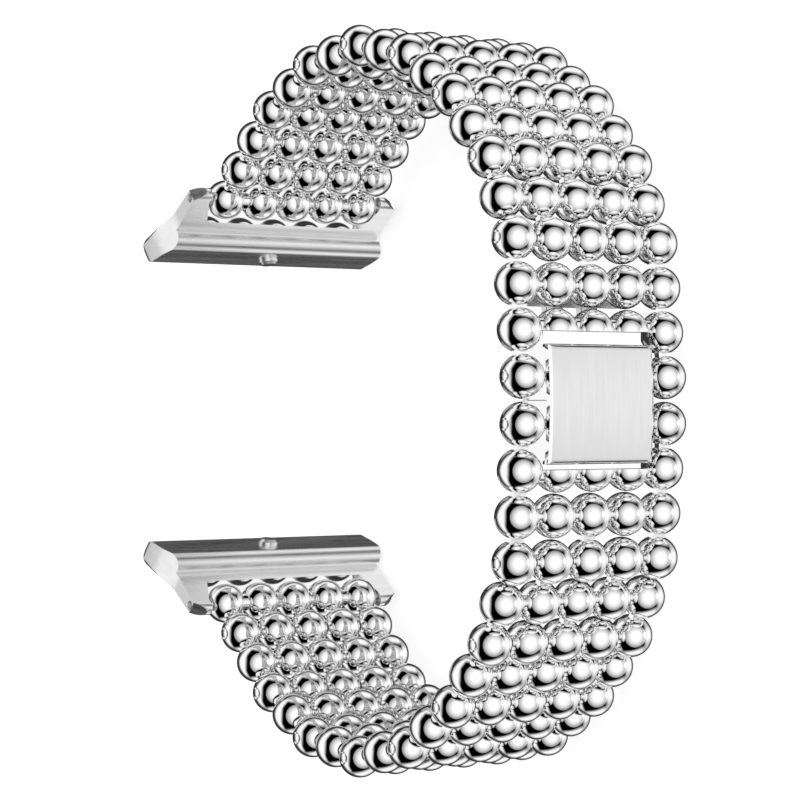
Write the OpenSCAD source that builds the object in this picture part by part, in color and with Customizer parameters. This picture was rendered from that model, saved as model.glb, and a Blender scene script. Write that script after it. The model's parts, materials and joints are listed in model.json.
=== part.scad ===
// Watch bracelet of polished steel beads, with a folding clasp and two case adapters.
// The closed bracelet lies on its side. +X points out of the clasp, +Y to 12 o'clock,
// +Z to the crown side. Every hinge pin runs along Z. Lengths in mm, angles in degrees.

/* [Beads] */
// Diameter of one bead
bead_d = 4.5; // [3.6:0.1:5]
// Gap between two beads that touch in looks only
bead_gap = 0.1; // [0.06:0.01:0.2]
// Width of the short neck that joins two beads of one link
neck_w = 1.6; // [1.2:0.1:1.8]
// Thickness of that neck
neck_t = 0.7; // [0.6:0.1:1.3]
// Diameter of the bar that joins the five beads of a fused row
bar_d = 1.3; // [1:0.1:1.6]

/* [Loop] */
// Distance between the first rows of the two halves, under the cover plate
meet_gap = 4.74; // [4.6:0.02:5.2]
// Slope of the rigid end section away from the cover plate
end_tilt = 5.5; // [3:0.5:8]
// Rest bend at hinges 1 to 4, from the clasp on
near_bends = [20, 17, 15, 20.5]; // [0:0.5:28]
// Rest bend at hinges 5 to 8, the last beside the adapter
far_bends = [19.5, 19.5, 15.5, 1]; // [0:0.5:28]

/* [Pins] */
// Diameter of a hinge pin
pin_d = 1; // [0.8:0.05:1.1]
// Diameter of the two pins that hold the end sections to the clasp
end_pin_d = 0.9; // [0.7:0.05:0.9]
// Radial clearance of a pin that turns in its bore
run_gap = 0.03; // [0.02:0.01:0.05]
// Outer diameter of the spring bar's tube
tube_d = 1.4; // [1.3:0.05:1.5]
// Diameter of the spring bar's tips
tip_d = 0.92; // [0.7:0.02:0.94]

/* [Clasp] */
// Width of the cover plate, across the beads
plate_w = 13.4; // [12.8:0.1:13.4]
// Length of the cover plate, along the bracelet
plate_l = 12; // [11.6:0.1:12.4]
// Thickness of the cover plate
plate_t = 0.7; // [0.5:0.05:0.8]
// Height of the cover plate's top above the row of beads' centres
plate_top = 1.43; // [1.4:0.01:1.6]
// Shift of the cover plate towards 6 o'clock
plate_shift = 0.38; // [0:0.02:0.5]
// Radius of the cover plate's arch
plate_arch_r = 53; // [45:1:80]
// Width of the two end blocks under the cover plate
block_w = 12.7; // [12:0.1:12.8]
// Level of the end blocks' open surface above the beads' centres
block_level = -0.32; // [-0.6:0.02:-0.2]
// Thickness of the fold arm
arm_t = 0.7; // [0.6:0.05:0.8]
// Thickness of the base blade, which lies on the wrist
blade_t = 0.8; // [0.6:0.05:1]
// Bend radius of the fold arm, about that of a wrist
wrist_r = 58; // [50:1:70]
// Distance of the clasp hinge from the middle of the clasp
hinge_y = 11.6; // [11.4:0.1:12]

/* [Adapter] */
// Thickness of an ear at its tip, across the bracelet
ear_t = 2.25; // [2:0.05:2.4]
// Width of the rail that slides into the watch case
rail_w = 29.6; // [29:0.1:30]
// Clearance between the last row of beads and an ear
notch_gap = 0.3; // [0.2:0.05:0.6]
// Clearance between the last row of beads and the notch's floor
floor_gap = 0.7; // [0.3:0.1:1]
// Radius of the ears' round tips
ear_tip_r = 0.8; // [0.7:0.05:0.95]
// Diameter of the spring bar's hole in an ear
ear_hole_d = 1; // [1:0.02:1.1]
// Diameter of the lock button
button_d = 2.3; // [2:0.1:2.6]
// Travel of the lock button
button_travel = 0.5; // [0.3:0.1:0.6]

/* [Hidden] */
$fn = 48;

// Rows and columns
col_pitch = bead_d + bead_gap;
row_pitch = bead_d + bead_gap;
outer_cols = [-2, 0, 2];
inner_cols = [-1, 1];
all_cols = [-2, -1, 0, 1, 2];
edge_cols = [-2, 2];
bends = concat(near_bends, far_bends);
adapter_row = 19;
links = 7;
hinges = links + 1;
edge_z = 2 * col_pitch;
rigid_rows = 4;

// Row r sits on hinge j when r = 2 j + 2
function heading(r) = end_tilt + (r <= rigid_rows ? 0 : bend_sum(floor((r - 3) / 2)));
function bend_sum(n) = n <= 0 ? 0 : bends[n - 1] + bend_sum(n - 1);
function step_to(r) = row_pitch * [-sin(heading(r)), cos(heading(r))];
function row_pos(r) = r <= 1 ? [0, meet_gap / 2] : row_pos(r - 1) + step_to(r);

// Bores
pin_bore_d = pin_d + 2 * run_gap;
end_bore_d = end_pin_d + 2 * run_gap;
tube_bore_d = tube_d + 2 * run_gap;
pin_reach = sqrt(pow(bead_d / 2, 2) - pow(pin_bore_d / 2, 2));
pin_l = 2 * (edge_z + pin_reach);
pin_edge = 0.12;
through = max(2 * edge_z + 2 * bead_d, rail_w + 2);

// Clasp levels, in the loop's own X
plate_mid = [plate_top - plate_arch_r, -plate_shift];
plate_gap = 0.03;
seat_gap = 0.1;
arm_top = -(bead_d / 2 + 0.2);
arm_mid = [arm_top - wrist_r, 0];
blade_r = wrist_r - arm_t - seat_gap;
block_gap = 0.06;
block_end = row_pos(2)[1] - 0.05;
pad_end = plate_l / 2 - plate_shift - 0.35;
knuckle_r = 0.95;
hinge_x = arm_mid[0] + sqrt(pow(blade_r + (arm_t + seat_gap) / 2, 2) - hinge_y * hinge_y) - 0.1;
clasp_axis = [hinge_x, hinge_y];
arm_half = 6;
base_half = 3;
knuckle_gap = 0.1;
knuckle_notch = 0.35;
rail_z = [1.5, 3];
open_y = [block_end + 0.4, hinge_y - knuckle_r - knuckle_notch - 0.85];
rivet_d = 1;
rivet_z = 4.4;
rivet_y = 5.2;
rivet_head_d = 1.9;
rivet_head_t = 0.3;
rivet_depth = 1.3;
post_d = 1.2;
post_z = 4;
post_y = 4.2;
post_l = 1.6;
fit_gap = 0.02;

// Catch under the cover plate
tongue_y = -4.75;
tongue_t = 0.8;
tongue_w = 4.4;
tongue_low = -1;
pocket_low = -1.4;
pocket_w = 5.2;
pocket_y = [-5.4, -3.25];
leaf_t = 0.15;
leaf_gap = 0.06;

// Adapter profile, seen along Z, from the spring bar's axis
rail_a = [-7.6, -5.3];
rail_a_r = 1.7;
rail_b = [-3.6, -4.6];
rail_b_r = 1.3;
root_p = [-3.29, -2.61];
root_r = 0.95;
ear_tip_p = [0.52, 0.39];
ear_tip_s = -norm(ear_tip_p) - ear_tip_r;
ear_cut = [1, 1.6];
plan_dir = 220;
plan_end = 11.4;
plan_corner = 1.2;
flare_s = [3.4, 8];
notch_depth = bead_d / 2 + floor_gap;
notch_taper = 1.1;
notch_w = 2 * edge_z + bead_d + 2 * notch_gap;
ears_w = notch_w + 2 * ear_t;
tip_depth = 1.45;
side_round = max((rail_w - ears_w) / 2 - 0.02, 0.1);
rail_run = rail_a - root_p;
side_dir = atan2(rail_run[1], rail_run[0]) - asin((rail_a_r - root_r) / norm(rail_run));
side_level = root_r + root_p * [sin(side_dir), -cos(side_dir)] - side_round;
tips_end = notch_w / 2 + tip_depth;
tube_gap = 0.25;
tube_end = notch_w / 2 - tube_gap;
tube_wall = 0.2;
tip_start = 8;
coil_wire = 0.16;
coil_turns = 12;
coil_steps = 8;

// Lock button, square to the rail
button_dir = atan2(rail_b[1] - rail_a[1], rail_b[0] - rail_a[0]) - 90;
button_p = (rail_a + rail_b) / 2;
rail_low = (rail_a_r + rail_b_r) / 2;
button_out = 0.6;
button_in = 0.9;
button_gap = 0.05;
button_hole = button_in + button_travel + 0.7;
lock_coil_d = 1.5;
lock_wire = 0.18;
lock_turns = 3;

// The loop's middle plane lies half a rail above the floor, and X is centred
x_low = row_pos(adapter_row)[0] + rail_a[0] - rail_a_r;
x_shift = -(x_low + max(bead_d / 2, plate_top)) / 2;

// Placing
module in_loop() {
    translate([x_shift, 0, rail_w / 2]) children();
}

module in_half(h) {
    in_loop() mirror([0, h == "lower" ? 1 : 0, 0]) children();
}

// Turned with the stretch that leads from row r - 1 to row r
module at_row(r, turned = true) {
    p = row_pos(r);
    translate([p[0], p[1], 0]) rotate([0, 0, turned ? heading(r) : 0]) children();
}

// Beads and what joins them
module bead() {
    sphere(d = bead_d);
}

module beads(cols, y = 0) {
    for (c = cols) translate([0, y, c * col_pitch]) bead();
}

module necks(cols, y0, y1) {
    for (c = cols) translate([-neck_t / 2, min(y0, y1), c * col_pitch - neck_w / 2])
        cube([neck_t, abs(y1 - y0), neck_w]);
}

module cross_bar(y = 0, d = bar_d) {
    translate([0, y, 0]) cylinder(h = 2 * edge_z, d = d, center = true);
}

module bore(d, y = 0) {
    translate([0, y, 0]) cylinder(h = through, d = d, center = true);
}

// A pin with broken edges at both ends
module pin(d, l) {
    rotate_extrude() polygon([
        [0, -l / 2], [d / 2 - pin_edge, -l / 2], [d / 2, -l / 2 + pin_edge],
        [d / 2, l / 2 - pin_edge], [d / 2 - pin_edge, l / 2], [0, l / 2]]);
}

// Link: two knuckles towards the clasp, a fused row, three knuckles towards the adapter
module link_body() {
    difference() {
        union() {
            beads(all_cols);
            cross_bar();
            beads(inner_cols, -row_pitch);
            necks(inner_cols, -row_pitch, 0);
            beads(outer_cols, row_pitch);
            necks(outer_cols, 0, row_pitch);
        }
        bore(pin_bore_d, -row_pitch);
        bore(pin_bore_d, row_pitch);
    }
}

module link(h, k) {
    color("silver") in_half(h) at_row(2 * k + 3) link_body();
}

module hinge_pin(h, k) {
    color("gainsboro") in_half(h) at_row(2 * k + 2, false) pin(pin_d, pin_l);
}

// End section: rows 1 to 4 in one piece. The middle beads of row 2 end at the clasp's block.
module end_section_body() {
    difference() {
        union() {
            beads(edge_cols, -row_pitch);
            necks(edge_cols, -row_pitch, 0);
            beads(all_cols);
            cross_bar();
            necks(edge_cols, 0, row_pitch);
            necks([0], bead_d / 4, row_pitch);
            beads(all_cols, row_pitch);
            cross_bar(row_pitch);
            necks(outer_cols, row_pitch, 2 * row_pitch);
            beads(outer_cols, 2 * row_pitch);
        }
        bore(end_bore_d, -row_pitch);
        bore(pin_bore_d, 2 * row_pitch);
    }
}

module end_section(h) {
    cut_h = 2 * (col_pitch + bead_d / 2 + bead_gap / 2);
    color("silver") in_half(h) difference() {
        at_row(2) end_section_body();
        translate([-bead_d, row_pos(2)[1] - bead_d, -cut_h / 2]) cube([2 * bead_d, bead_d, cut_h]);
    }
}

module end_pin(h) {
    color("gainsboro") in_half(h) at_row(1, false) pin(end_pin_d, pin_l);
}

// End link: the two knuckles of the last hinge and the row on the spring bar
module end_link(h) {
    color("silver") in_half(h) at_row(adapter_row) difference() {
        union() {
            beads(all_cols);
            cross_bar(0, tube_bore_d + 0.6);
            beads(inner_cols, -row_pitch);
            necks(inner_cols, -row_pitch, 0);
        }
        bore(tube_bore_d);
        bore(pin_bore_d, -row_pitch);
    }
}

// Spring bar: a tube, two sprung tips and the coil between them
module spring_bar_tube(h) {
    color("darkgray") in_half(h) at_row(adapter_row, false) difference() {
        cylinder(h = 2 * tube_end, d = tube_d, center = true);
        cylinder(h = 2 * tube_end + 1, d = tube_d - 2 * tube_wall, center = true);
    }
}

module spring_bar_tips(h) {
    color("dimgray") in_half(h) at_row(adapter_row, false) for (s = [-1, 1])
        translate([0, 0, s * (tip_start + tips_end) / 2]) pin(tip_d, tips_end - tip_start);
}

// A coil along Z as one tube of five sides
module coil(d, wire, l, turns, steps) {
    n = turns * steps;
    sides = 5;
    rise = l - wire;
    // Radial and axial places of the tube's corners, ring by ring
    corners = [for (i = [0:n]) for (k = [0:sides - 1])
        let (a = 360 * i / steps, b = 360 * k / sides, r = (d - wire) / 2 + wire / 2 * cos(b))
        [r * cos(a), r * sin(a), rise * (i / n - 0.5) + wire / 2 * sin(b)]];
    walls = [for (i = [0:n - 1]) for (k = [0:sides - 1]) each
        let (p = i * sides, q = p + sides, m = (k + 1) % sides)
        [[p + k, p + m, q + m], [p + k, q + m, q + k]]];
    ends = [[for (k = [sides - 1:-1:0]) k], [for (k = [0:sides - 1]) n * sides + k]];
    polyhedron(points = corners, faces = concat(walls, ends));
}

module spring_bar_coil(h) {
    color("dimgray") in_half(h) at_row(adapter_row, false)
        coil(tube_d - 2 * tube_wall - 0.1, coil_wire, 2 * tip_start - 0.1, coil_turns, coil_steps);
}

// Flat outline of two circles and their outer tangents
module capsule(p, rp, q, rq) {
    d = norm(q - p);
    a = atan2(q[1] - p[1], q[0] - p[0]);
    t = acos((rp - rq) / d);
    function on(c, r, s) = c + r * [cos(a + s * t), sin(a + s * t)];
    translate(p) circle(r = rp);
    translate(q) circle(r = rq);
    polygon([on(p, rp, -1), on(q, rq, -1), on(q, rq, 1), on(p, rp, 1)]);
}

// Adapter seen along Z: ear, widening root and rail
module adapter_profile() {
    capsule(ear_tip_p, ear_tip_r, root_p, root_r);
    capsule(root_p, root_r, rail_a, rail_a_r);
    capsule(rail_b, rail_b_r, rail_a, rail_a_r);
}

// Adapter seen along its outer side: the side's corners are round
module adapter_section() {
    for (s = [0, 1]) mirror([0, s]) {
        translate([-4 * bead_d, 0]) square([4 * bead_d + side_level, rail_w / 2 + 1]);
        translate([side_level - 1, 0]) square([2 * bead_d, rail_w / 2 - side_round]);
        translate([side_level, rail_w / 2 - side_round]) circle(r = side_round);
    }
}

// Adapter seen square to the ears: flared sides, cut ear tips, tapered notch and round rail ends
module adapter_plan() {
    flare_w = (rail_w - ears_w) / 2;
    half = concat([[ear_tip_s, ears_w / 2 - ear_cut[1]], [ear_cut[0] + ear_tip_s, ears_w / 2]],
                  [for (t = [0:1/6:1]) [flare_s[0] + t * (flare_s[1] - flare_s[0]),
                                        ears_w / 2 + flare_w * t * t * (3 - 2 * t)]]);
    turn = [for (a = [90:-15:0]) [plan_end - plan_corner + plan_corner * cos(a),
                                  rail_w / 2 - plan_corner + plan_corner * sin(a)]];
    side = concat(half, turn);
    function flipped(v) = [for (i = [len(v) - 1:-1:0]) [v[i][0], -v[i][1]]];
    notch = [[2 * ear_tip_s, -notch_w / 2], [0, -notch_w / 2], [notch_depth, notch_taper - notch_w / 2]];
    difference() {
        polygon(concat(side, flipped(side)));
        polygon(concat(notch, flipped(notch)));
    }
}

module button_frame() {
    translate([button_p[0], button_p[1], 0]) rotate([0, 0, button_dir]) rotate([0, 90, 0])
        translate([0, 0, rail_low]) children();
}

module adapter(h) {
    color("lightgray") in_half(h) at_row(adapter_row, false) difference() {
        intersection() {
            linear_extrude(height = rail_w + 2, center = true) adapter_profile();
            rotate([0, 0, plan_dir]) rotate([90, 0, 0])
                linear_extrude(height = 8 * bead_d, center = true) adapter_plan();
            rotate([0, 0, side_dir]) rotate([90, 0, 90])
                linear_extrude(height = 8 * bead_d, center = true) mirror([1, 0]) adapter_section();
        }
        bore(ear_hole_d);
        button_frame() translate([0, 0, -button_hole]) cylinder(h = button_hole + 1, d = button_d + 2 * button_gap);
    }
}

module lock_button(h) {
    edge = 0.3;
    color("gray") in_half(h) at_row(adapter_row, false) button_frame() rotate_extrude() polygon([
        [0, -button_in], [button_d / 2, -button_in], [button_d / 2, button_out - edge],
        [button_d / 2 - edge, button_out], [0, button_out]]);
}

module lock_spring(h) {
    room = button_hole - button_in - 0.04;
    color("dimgray") in_half(h) at_row(adapter_row, false) button_frame()
        translate([0, 0, -button_hole + 0.02 + room / 2]) coil(lock_coil_d, lock_wire, room, lock_turns, coil_steps);
}

// Flat strip of the fold arm or the base blade, bent round the wrist
module strip(r, t, y0, y1) {
    intersection() {
        difference() {
            translate(arm_mid) circle(r = r, $fn = 720);
            translate(arm_mid) circle(r = r - t, $fn = 720);
        }
        translate([-2 * bead_d, y0]) square([4 * bead_d, y1 - y0]);
    }
}

module knuckle(z0, z1) {
    translate([clasp_axis[0], clasp_axis[1], z0]) cylinder(h = z1 - z0, r = knuckle_r);
}

module clasp_bore(d) {
    translate([clasp_axis[0], clasp_axis[1], 0]) cylinder(h = 3 * arm_half, d = d, center = true);
}

// Hole or shank along X, from level x0 up to x1
module peg(x0, x1, y, z, d) {
    translate([x0, y, z]) rotate([0, 90, 0]) cylinder(h = x1 - x0, d = d);
}

// Cut-outs from z0 to z1 on both sides of the middle, which leave two rails beside the hinge
module opening(z0, z1) {
    for (s = [-1, 1]) translate([-3 * bead_d, open_y[0], s * (z0 + z1) / 2 - (z1 - z0) / 2])
        cube([6 * bead_d, open_y[1] - open_y[0], z1 - z0]);
}

// The root piece of the clasp: a blade on the wrist side that carries the clasp hinge
module clasp_base() {
    color("silver") in_loop() difference() {
        union() {
            linear_extrude(height = 2 * arm_half, center = true)
                strip(blade_r, blade_t, -block_end, open_y[0]);
            linear_extrude(height = 2 * base_half, center = true)
                strip(blade_r, blade_t, open_y[0] - knuckle_r, hinge_y);
            knuckle(-base_half, base_half);
        }
        opening(0, rail_z[0]);
        clasp_bore(pin_bore_d);
        for (s = [-1, 1]) peg(-2 * bead_d, 0, -rivet_y, s * rivet_z, rivet_d + 2 * fit_gap);
    }
}

// Outline of an end block: open surface, raised pad under the cover plate, arched sole
module block_profile(y_in, y_out, y_pad, sole_r) {
    difference() {
        union() {
            translate([-bead_d, y_in]) square([bead_d + block_level, y_out - y_in]);
            intersection() {
                translate([-bead_d, y_in]) square([2 * bead_d, y_pad - y_in]);
                translate(plate_mid) circle(r = plate_arch_r - plate_t - plate_gap, $fn = 720);
            }
        }
        translate(arm_mid) circle(r = sole_r, $fn = 720);
    }
}

module end_bore_at(y) {
    translate([0, y, 0]) cylinder(h = through, d = end_bore_d, center = true);
}

// Fixed end block, which holds the lower half's first row and the catch pocket
module clasp_anchor_block() {
    pocket_l = pocket_y[1] - pocket_y[0];
    color("silver") in_loop() difference() {
        linear_extrude(height = block_w, center = true)
            mirror([0, 1]) block_profile(block_gap / 2, block_end, pad_end + 2 * plate_shift, blade_r);
        end_bore_at(-meet_gap / 2);
        translate([pocket_low, pocket_y[0], -pocket_w / 2]) cube([bead_d, pocket_l, pocket_w]);
        for (s = [-1, 1]) peg(-bead_d, pocket_low - 0.1, -rivet_y, s * rivet_z, rivet_d + 2 * fit_gap);
    }
}

module clasp_base_rivets() {
    sole = arm_mid[0] + sqrt(pow(blade_r - blade_t, 2) - pow(rivet_y + rivet_head_d / 2, 2));
    color("gray") in_loop() for (s = [-1, 1]) {
        peg(sole - rivet_head_t, sole, -rivet_y, s * rivet_z, rivet_head_d);
        peg(sole - rivet_head_t / 2, pocket_low - 0.2, -rivet_y, s * rivet_z, rivet_d);
    }
}

// Sprung leaf folded in the pocket, behind the cover plate's tongue
module clasp_catch_spring() {
    back = pocket_y[0] + leaf_gap;
    front = tongue_y - leaf_gap - leaf_t;
    leaf_top = block_level + 0.5;
    color("gray") in_loop() linear_extrude(height = pocket_w - 1, center = true) union() {
        translate([pocket_low + leaf_gap, back]) square([leaf_top - pocket_low - leaf_gap, leaf_t]);
        translate([pocket_low + leaf_gap, back]) square([leaf_t, front + leaf_t - back]);
        translate([pocket_low + leaf_gap, front]) square([leaf_top - 0.4 - pocket_low, leaf_t]);
    }
}

module clasp_hinge_pin() {
    color("gainsboro") in_loop() translate([clasp_axis[0], clasp_axis[1], 0]) pin(pin_d, 2 * arm_half);
}

// Fold arm, which swings out about the clasp hinge
module clasp_fold_arm() {
    slot = base_half + knuckle_gap;
    slot_y = hinge_y - knuckle_r - knuckle_notch;
    color("silver") in_loop() difference() {
        union() {
            linear_extrude(height = 2 * arm_half, center = true) strip(wrist_r, arm_t, block_gap / 2, hinge_y);
            knuckle(slot, arm_half);
            knuckle(-arm_half, -slot);
        }
        translate([-3 * bead_d, slot_y, -slot]) cube([6 * bead_d, 2 * hinge_y, 2 * slot]);
        opening(0, rail_z[0]);
        opening(rail_z[1], 2 * arm_half);
        clasp_bore(pin_bore_d);
        for (s = [-1, 1]) peg(-2 * bead_d, 0, rivet_y, s * rivet_z, rivet_d + 2 * fit_gap);
    }
}

// End block on the fold arm, which holds the upper half's first row and the cover plate
module clasp_arm_block() {
    color("silver") in_loop() difference() {
        linear_extrude(height = block_w, center = true)
            block_profile(block_gap / 2, block_end, pad_end, wrist_r);
        end_bore_at(meet_gap / 2);
        for (s = [-1, 1]) peg(-bead_d, pocket_low - 0.1, rivet_y, s * rivet_z, rivet_d + 2 * fit_gap);
        for (s = [-1, 1]) peg(pocket_low + 0.3, bead_d, post_y, s * post_z, post_d + 2 * fit_gap);
    }
}

module clasp_arm_rivets() {
    sole = arm_mid[0] + sqrt(pow(wrist_r - arm_t, 2) - pow(rivet_y + rivet_d / 2, 2));
    color("gray") in_loop() for (s = [-1, 1])
        peg(sole + fit_gap, pocket_low - 0.2, rivet_y, s * rivet_z, rivet_d);
}

// Arched cover plate with two posts and the catch tongue
module clasp_cover_plate() {
    under = plate_top - plate_t;
    color("whitesmoke") in_loop() union() {
        linear_extrude(height = plate_w, center = true) intersection() {
            difference() {
                translate(plate_mid) circle(r = plate_arch_r, $fn = 720);
                translate(plate_mid) circle(r = plate_arch_r - plate_t, $fn = 720);
            }
            translate([0, -plate_shift - plate_l / 2]) square([bead_d, plate_l]);
        }
        for (s = [-1, 1]) peg(pocket_low + 0.4, under + plate_t / 2, post_y, s * post_z, post_d);
        translate([tongue_low, tongue_y, -tongue_w / 2]) cube([under + plate_t / 2 - tongue_low, tongue_t, tongue_w]);
    }
}

clasp_base();
clasp_anchor_block();
clasp_base_rivets();
clasp_catch_spring();
clasp_hinge_pin();
clasp_fold_arm();
clasp_arm_block();
clasp_arm_rivets();
clasp_cover_plate();
for (h = ["upper", "lower"]) {
    end_section(h);
    end_pin(h);
    for (k = [1:hinges]) hinge_pin(h, k);
    for (k = [1:links]) link(h, k);
    end_link(h);
    spring_bar_tube(h);
    spring_bar_tips(h);
    spring_bar_coil(h);
    adapter(h);
    lock_button(h);
    lock_spring(h);
}
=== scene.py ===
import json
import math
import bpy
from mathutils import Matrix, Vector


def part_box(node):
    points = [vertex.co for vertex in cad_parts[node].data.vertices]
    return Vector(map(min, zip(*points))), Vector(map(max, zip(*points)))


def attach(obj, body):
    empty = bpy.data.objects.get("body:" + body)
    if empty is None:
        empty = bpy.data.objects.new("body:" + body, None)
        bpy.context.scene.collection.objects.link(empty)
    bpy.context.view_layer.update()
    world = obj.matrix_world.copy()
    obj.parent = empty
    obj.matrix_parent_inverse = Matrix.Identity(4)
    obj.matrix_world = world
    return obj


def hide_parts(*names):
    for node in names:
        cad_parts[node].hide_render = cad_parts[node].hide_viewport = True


bl_info = {
    "name": "Beaded Watch Bracelet",
    "version": (1, 0, 0),
    "blender": (4, 5, 0),
    "location": "3D View > Sidebar > Bracelet",
    "description": "Dresses a bracelet of polished steel beads, with its folding clasp and adapters",
    "category": "Object",
}

import bmesh
import bpy
from mathutils import Matrix, Vector

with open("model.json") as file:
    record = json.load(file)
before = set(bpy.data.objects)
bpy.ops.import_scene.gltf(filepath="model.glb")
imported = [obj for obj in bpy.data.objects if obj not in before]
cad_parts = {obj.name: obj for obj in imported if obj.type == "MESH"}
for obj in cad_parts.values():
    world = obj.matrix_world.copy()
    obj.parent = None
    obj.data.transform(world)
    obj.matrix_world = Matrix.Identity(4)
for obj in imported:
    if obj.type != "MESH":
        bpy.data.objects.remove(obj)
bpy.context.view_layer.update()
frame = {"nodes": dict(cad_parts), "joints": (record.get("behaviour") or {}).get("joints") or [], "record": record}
joints = {j["name"]: j for j in frame["joints"]}

MM = 0.001
HALVES = ("upper", "lower")
LINKS = 7
# The five columns of beads are numbered from -2 to 2 across the band
EDGE_COLUMN = 2

# How deep a bore is cut, and how steeply its countersink runs in
BORE_DEPTH = 0.6 * MM
MOUTH_SLOPE = math.tan(math.radians(32))
# The last row's sleeve round the spring bar, and the broken edge at a pin's ends
SLEEVE_DIAMETER = 2.06 * MM
PIN_EDGE = 0.05 * MM
BAR_FACETS = 32
PIN_FACETS = 40

# The cover plate: the radius of its arch, the steps and the depth of its round ends in roundings, and how
# steeply its chamfers fall
PLATE_ARCH = 53 * MM
ROUND_STEPS = (0, 0.04, 0.1, 0.18, 0.3, 0.45, 0.65, 1)
ROUND_DEPTH = 0.85
CHAMFER_SLOPE = 0.57
# Its catch tongue and two posts, along the band (Y) and across it from the plate's middle (Z), and how far
# they reach up into it
TONGUE_Y = (-4.75 * MM, -3.95 * MM)
TONGUE_Z = 2.2 * MM
TONGUE_EDGE = 0.08 * MM
POST_Y = 4.2 * MM
POST_Z = 4 * MM
POST_RADIUS = 0.6 * MM
ROOT = 0.3 * MM

# A CAD node's points closer than this are one, its faces that turn by less than this are one, and its edges
# that turn by more than this are broken
WELD_DISTANCE = 2e-7
FLAT_ANGLE = math.radians(0.3)
HARD_ANGLE = math.radians(28)

# The camera, as it stands before the closed bracelet
CAMERA_PLACE = (0.24030, -0.00087, 0.18640)
CAMERA_RIGHT = (0.5772, 0.0, -0.8166)
CAMERA_UP = (0.0028, 1.0, 0.0019)
CAMERA_BACK = (0.8166, -0.0034, 0.5772)
CAMERA_LENS = 120.8


# Sizes and colours that a user would change

class BraceletSizes(bpy.types.PropertyGroup):
    bead_diameter: bpy.props.FloatProperty(
        name="Bead Diameter", description="Diameter of one bead",
        default=4.5 * MM, min=3 * MM, max=6 * MM, unit="LENGTH", subtype="DISTANCE")
    bead_gap: bpy.props.FloatProperty(
        name="Bead Gap", description="Gap between two neighbouring beads",
        default=0.1 * MM, min=0.02 * MM, max=0.4 * MM, unit="LENGTH", subtype="DISTANCE")
    pin_bore: bpy.props.FloatProperty(
        name="Pin Bore", description="Diameter of the bore that a hinge pin turns in",
        default=1.06 * MM, min=0.6 * MM, max=1.5 * MM, unit="LENGTH", subtype="DISTANCE")
    end_bore: bpy.props.FloatProperty(
        name="End Bore", description="Diameter of the bore beside the cover plate",
        default=0.96 * MM, min=0.6 * MM, max=1.5 * MM, unit="LENGTH", subtype="DISTANCE")
    bore_mouth: bpy.props.FloatProperty(
        name="Bore Mouth", description="Width of the countersink round each bore",
        default=0.15 * MM, min=0.02 * MM, max=0.3 * MM, unit="LENGTH", subtype="DISTANCE")
    bar_diameter: bpy.props.FloatProperty(
        name="Bar Diameter", description="Diameter of the bar through a fused row",
        default=1.3 * MM, min=0.6 * MM, max=2 * MM, unit="LENGTH", subtype="DISTANCE")
    neck_width: bpy.props.FloatProperty(
        name="Neck Width", description="Width of the neck that joins two rows of one link",
        default=1.6 * MM, min=0.6 * MM, max=2.4 * MM, unit="LENGTH", subtype="DISTANCE")
    neck_thickness: bpy.props.FloatProperty(
        name="Neck Thickness", description="Thickness of that neck, from the wrist outwards",
        default=0.7 * MM, min=0.4 * MM, max=1.6 * MM, unit="LENGTH", subtype="DISTANCE")
    pin_diameter: bpy.props.FloatProperty(
        name="Pin Diameter", description="Diameter of a hinge pin",
        default=1.0 * MM, min=0.6 * MM, max=1.4 * MM, unit="LENGTH", subtype="DISTANCE")
    end_pin_diameter: bpy.props.FloatProperty(
        name="End Pin Diameter", description="Diameter of the pins beside the cover plate",
        default=0.9 * MM, min=0.6 * MM, max=1.4 * MM, unit="LENGTH", subtype="DISTANCE")
    plate_width: bpy.props.FloatProperty(
        name="Plate Width", description="Width of the cover plate, across the beads",
        default=13.4 * MM, min=10 * MM, max=16 * MM, unit="LENGTH", subtype="DISTANCE")
    plate_length: bpy.props.FloatProperty(
        name="Plate Length", description="Length of the cover plate, along the band",
        default=12 * MM, min=9 * MM, max=14 * MM, unit="LENGTH", subtype="DISTANCE")
    plate_thickness: bpy.props.FloatProperty(
        name="Plate Thickness", description="Thickness of the cover plate",
        default=0.7 * MM, min=0.4 * MM, max=1.2 * MM, unit="LENGTH", subtype="DISTANCE")
    plate_chamfer: bpy.props.FloatProperty(
        name="Plate Chamfer", description="Width of the polished chamfer along the plate's two sides",
        default=0.3 * MM, min=0.05 * MM, max=0.8 * MM, unit="LENGTH", subtype="DISTANCE")
    plate_round: bpy.props.FloatProperty(
        name="Plate Rounding", description="Radius of the plate's two round ends",
        default=0.4 * MM, min=0.05 * MM, max=0.65 * MM, unit="LENGTH", subtype="DISTANCE")
    edge_softness: bpy.props.FloatProperty(
        name="Edge Softness", description="Width of the broken edges on the blocks, blades and adapters",
        default=0.07 * MM, min=0.01 * MM, max=0.2 * MM, unit="LENGTH", subtype="DISTANCE")
    bead_facets: bpy.props.IntProperty(
        name="Bead Facets", description="Facets round a bead's equator", default=56, min=24, max=96)


class BraceletFinish(bpy.types.PropertyGroup):
    polished_colour: bpy.props.FloatVectorProperty(
        name="Polished Steel", description="Colour of the mirror-polished beads",
        default=(0.93, 0.93, 0.935), size=3, min=0, max=1, subtype="COLOR")
    satin_colour: bpy.props.FloatVectorProperty(
        name="Satin Steel", description="Colour of the satin cover plate and the ears",
        default=(0.9, 0.9, 0.9), size=3, min=0, max=1, subtype="COLOR")
    polish_roughness: bpy.props.FloatProperty(
        name="Polish Roughness", description="Roughness of the polished steel",
        default=0.035, min=0, max=0.3, subtype="FACTOR")
    satin_roughness: bpy.props.FloatProperty(
        name="Satin Roughness", description="Roughness of the satin steel",
        default=0.34, min=0.1, max=0.8, subtype="FACTOR")


# Node helpers

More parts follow.
